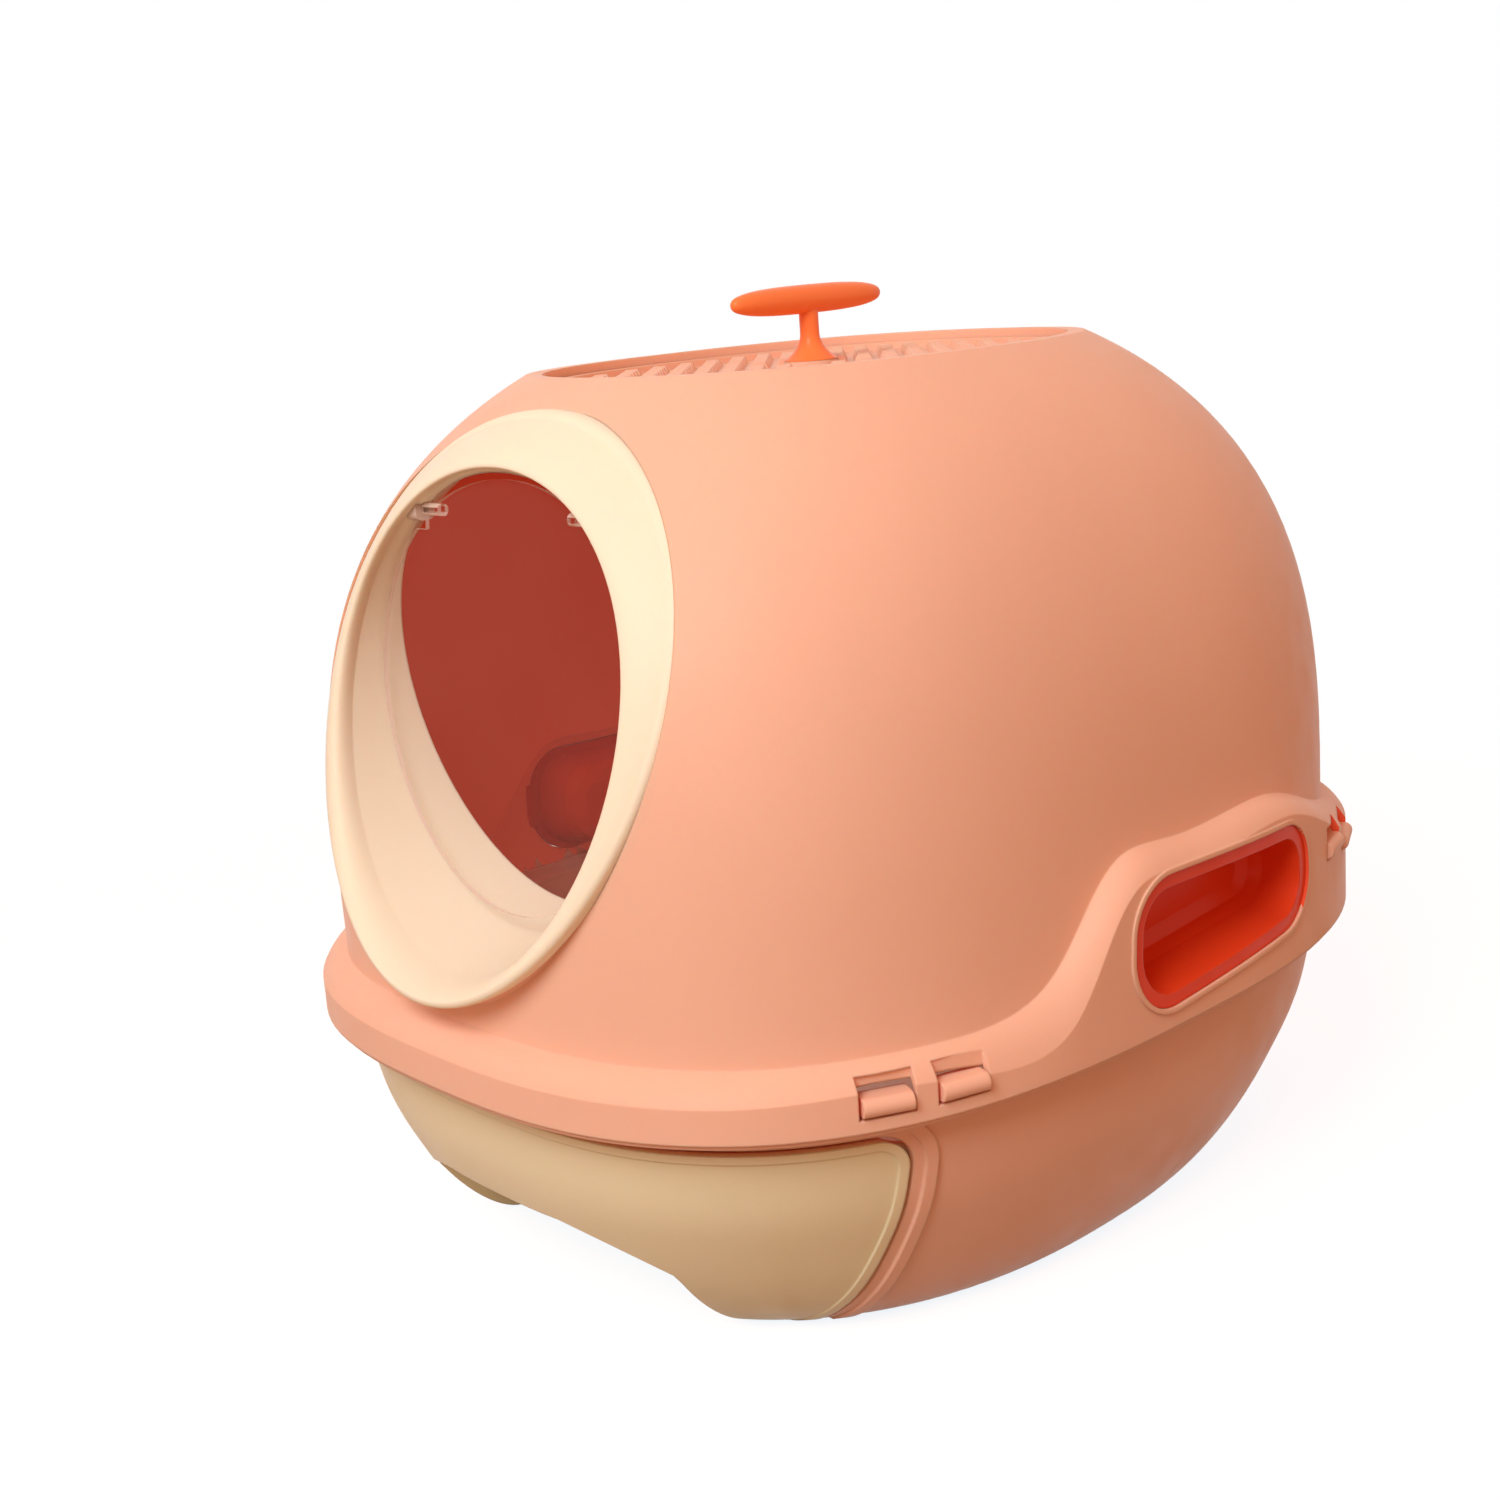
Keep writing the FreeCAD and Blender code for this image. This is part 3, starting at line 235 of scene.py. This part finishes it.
MATERIALS = {
    "hood": plastic("hood_peach", PEACH, roughness=0.45, change=0.02, grain=0.12,
                    depth_weight=0.3),
    "tub": plastic("tub_peach", tuple(c * TUB_SHARE for c in PEACH), roughness=0.45,
                   change=0.02, grain=0.12, depth_weight=0.2),
    "lid": plastic("lid_peach", PEACH, roughness=0.45, change=0.02, grain=0.12,
                   depth_weight=0.3),
    "ring": plastic("ring_cream", CREAM, roughness=0.4, change=0.015, grain=0.08,
                    depth_weight=0.25, depth=CREAM_DEPTH),
    "drawer_front": plastic("drawer_cream", DRAWER_CREAM, roughness=0.42, change=0.015,
                            grain=0.1, depth_weight=0.25, depth=CREAM_DEPTH),
    "tray": plastic("tray_cream", tuple(c * TRAY_SHARE for c in CREAM), roughness=0.45,
                    change=0.015, grain=0.1),
    "cups": plastic("cup_orange", CUP_ORANGE, roughness=0.35, change=0.03, grain=0.06,
                    coat=0.04),
    "lid_handle": plastic("handle_orange", ORANGE, roughness=0.3, change=0.03, grain=0.06,
                          coat=0.1),
    "flap": clear_plastic("flap_clear", roughness=0.12, body=0.022),
    "brackets": clear_plastic("bracket_clear", roughness=0.2, body=0.7),
    "screws": metal("screw_steel", STEEL, roughness=0.35),
    "washer": plastic("washer_nylon", NYLON, roughness=0.5, change=0.03, grain=0.1),
}
FLAP_RIM = clear_plastic("flap_rim", roughness=0.2, body=0.6)
# Painted shade and painted glow for the hood's inner wall: a darker, redder peach that glows
HOOD_INSIDE_PAINTED_SHADE_GLOW = plastic("hood_inside_painted_shade_glow", PEACH_INSIDE_PAINTED_SHADE_GLOW, roughness=0.5, change=0.02, grain=0.12,
                      painted_glow=0.16)


def faces_inside_painted_shade_glow(face):
    """Whether a face of the hood is on the dome's inner wall, past the door's edge, where
    the painted shade and painted glow go.
    """
    height = face.center.z
    reach = Vector((face.center.x, face.center.y, max(0, height - DOME_CENTRE_HEIGHT)))
    past_door = face.center.y > DOOR_BACK or face.normal.y > FACING_BACK
    inwards = reach.normalized().dot(face.normal) < FACING_INWARDS
    return INSIDE_BOTTOM < height < INSIDE_TOP and inwards and past_door


def faces_edge(face):
    """Whether a face of the flap is part of its rim."""
    return abs(face.normal.y) < FLAP_FACE


def add_second_material(name, material, chosen):
    """A node's chosen faces take a second material."""
    node = nodes[name]
    node.data.materials.append(material)
    for face in node.data.polygons:
        if chosen(face):
            face.material_index = 1


def dress_nodes():
    """Every CAD node takes the material of its slot and is shaded smooth."""
    for entry in frame["record"]["subparts"]:
        node = nodes[entry["node"]]
        node.data.materials.clear()
        node.data.materials.append(MATERIALS[entry["material_slot"]])
        for face in node.data.polygons:
            face.material_index = 0
            face.use_smooth = True
    # The hood's inner wall takes painted shade and a painted glow: a darker, redder colour
    # that glows
    add_second_material("hood", HOOD_INSIDE_PAINTED_SHADE_GLOW, faces_inside_painted_shade_glow)
    add_second_material("flap", FLAP_RIM, faces_edge)


def math_node(tree, operation, first, second):
    """The result of a sum on two values of the tree."""
    node = tree.nodes.new("ShaderNodeMath")
    node.operation = operation
    tree.links.new(first, node.inputs[0])
    tree.links.new(second, node.inputs[1])
    return node.outputs["Value"]


def seen(tree):
    """One where the camera, a glossy surface or a clear one looks, otherwise nothing."""
    path = tree.nodes.new("ShaderNodeLightPath")
    mirrored = math_node(tree, "MAXIMUM", path.outputs["Is Camera Ray"],
                         path.outputs["Is Glossy Ray"])
    return math_node(tree, "MAXIMUM", mirrored, path.outputs["Is Transmission Ray"])


def mixed(tree, share, first, second):
    """One shader that turns into another as the share goes from nothing to one."""
    mix = tree.nodes.new("ShaderNodeMixShader")
    tree.links.new(share, mix.inputs["Fac"])
    tree.links.new(first, mix.inputs[1])
    tree.links.new(second, mix.inputs[2])
    return mix.outputs["Shader"]


def floor_and_backdrop():
    """A plain pale floor that shows as white further out and keeps the box's shadow."""
    corners = [(x * FLOOR_REACH, y * FLOOR_REACH, 0)
               for x, y in ((-1, -1), (1, -1), (1, 1), (-1, 1))]
    mesh = bpy.data.meshes.new("floor")
    mesh.from_pydata(corners, [], [range(len(corners))])
    floor = bpy.data.objects.new("floor", mesh)
    bpy.context.scene.collection.objects.link(floor)
    material, tree, shader = new_material("floor_pale")
    shader.inputs["Base Color"].default_value = opaque(FLOOR_COLOUR)
    shader.inputs["Roughness"].default_value = FLOOR_ROUGHNESS
    shader.inputs["Specular IOR Level"].default_value = 0
    shader.inputs["Emission Color"].default_value = opaque(FLOOR_GLOW_COLOUR)
    glow = tree.nodes.new("ShaderNodeMath")
    glow.operation = "MULTIPLY"
    glow.inputs[1].default_value = FLOOR_GLOW
    tree.links.new(seen(tree), glow.inputs[0])
    tree.links.new(glow.outputs["Value"], shader.inputs["Emission Strength"])
    place = tree.nodes.new("ShaderNodeTexCoord")
    reach = tree.nodes.new("ShaderNodeVectorMath")
    reach.operation = "LENGTH"
    tree.links.new(place.outputs["Object"], reach.inputs[0])
    fade = tree.nodes.new("ShaderNodeMapRange")
    fade.interpolation_type = "SMOOTHSTEP"
    fade.inputs["From Min"].default_value = FADE_START
    fade.inputs["From Max"].default_value = FADE_END
    tree.links.new(reach.outputs["Value"], fade.inputs["Value"])
    share = math_node(tree, "MULTIPLY", fade.outputs["Result"], seen(tree))
    white = tree.nodes.new("ShaderNodeEmission")
    surface = mixed(tree, share, shader.outputs["BSDF"], white.outputs["Emission"])
    tree.links.new(surface, tree.nodes["Material Output"].inputs["Surface"])
    floor.data.materials.append(material)


def world():
    """An even warm world, which the camera, mirrors and clear plastic see as white."""
    surroundings = bpy.data.worlds.new("studio")
    surroundings.use_nodes = True
    tree = surroundings.node_tree
    tree.nodes.clear()
    output = tree.nodes.new("ShaderNodeOutputWorld")
    light = tree.nodes.new("ShaderNodeBackground")
    light.inputs["Color"].default_value = opaque(ROOM_TINT)
    light.inputs["Strength"].default_value = ROOM_STRENGTH
    shown = tree.nodes.new("ShaderNodeBackground")
    shown.inputs["Color"].default_value = opaque(WHITE)
    surface = mixed(tree, seen(tree), light.outputs["Background"],
                    shown.outputs["Background"])
    tree.links.new(surface, output.inputs["Surface"])
    bpy.context.scene.world = surroundings


def key_light():
    """A large soft lamp in front of the box, above it and to its right."""
    lamp = bpy.data.lights.new("key", "AREA")
    lamp.shape = "DISK"
    lamp.size = KEY_SIZE
    lamp.energy = KEY_POWER
    holder = bpy.data.objects.new("key", lamp)
    bpy.context.scene.collection.objects.link(holder)
    holder.location = KEY_PLACE
    direction = Vector(KEY_AIM) - Vector(KEY_PLACE)
    holder.rotation_euler = direction.to_track_quat("-Z", "Y").to_euler()


def camera():
    """The photograph's camera, recovered from the rim, the lid opening and the door ring."""
    azimuth = math.radians(CAMERA_AZIMUTH)
    elevation = math.radians(CAMERA_ELEVATION)
    roll = math.radians(CAMERA_ROLL)
    back = Vector((math.sin(azimuth) * math.cos(elevation),
                   -math.cos(azimuth) * math.cos(elevation), math.sin(elevation)))
    right = Vector((math.cos(azimuth), math.sin(azimuth), 0))
    up = back.cross(right)
    turned_right = right * math.cos(roll) + up * math.sin(roll)
    turned_up = up * math.cos(roll) - right * math.sin(roll)
    aim = right * CAMERA_RIGHT + Vector((0, 0, CAMERA_AIM_HEIGHT))
    place = aim + back * CAMERA_DISTANCE
    lens = bpy.data.cameras.new("photo_camera")
    lens.lens = LENS_MM
    lens.sensor_width = SENSOR_MM
    lens.clip_start = CAMERA_NEAREST
    holder = bpy.data.objects.new("photo_camera", lens)
    bpy.context.scene.collection.objects.link(holder)
    turn = Matrix((turned_right, turned_up, back)).transposed()
    holder.matrix_world = Matrix.Translation(place) @ turn.to_4x4()
    bpy.context.scene.camera = holder


camera()
dress_nodes()
floor_and_backdrop()
world()
key_light()
bpy.context.scene.view_settings.view_transform = "Standard"
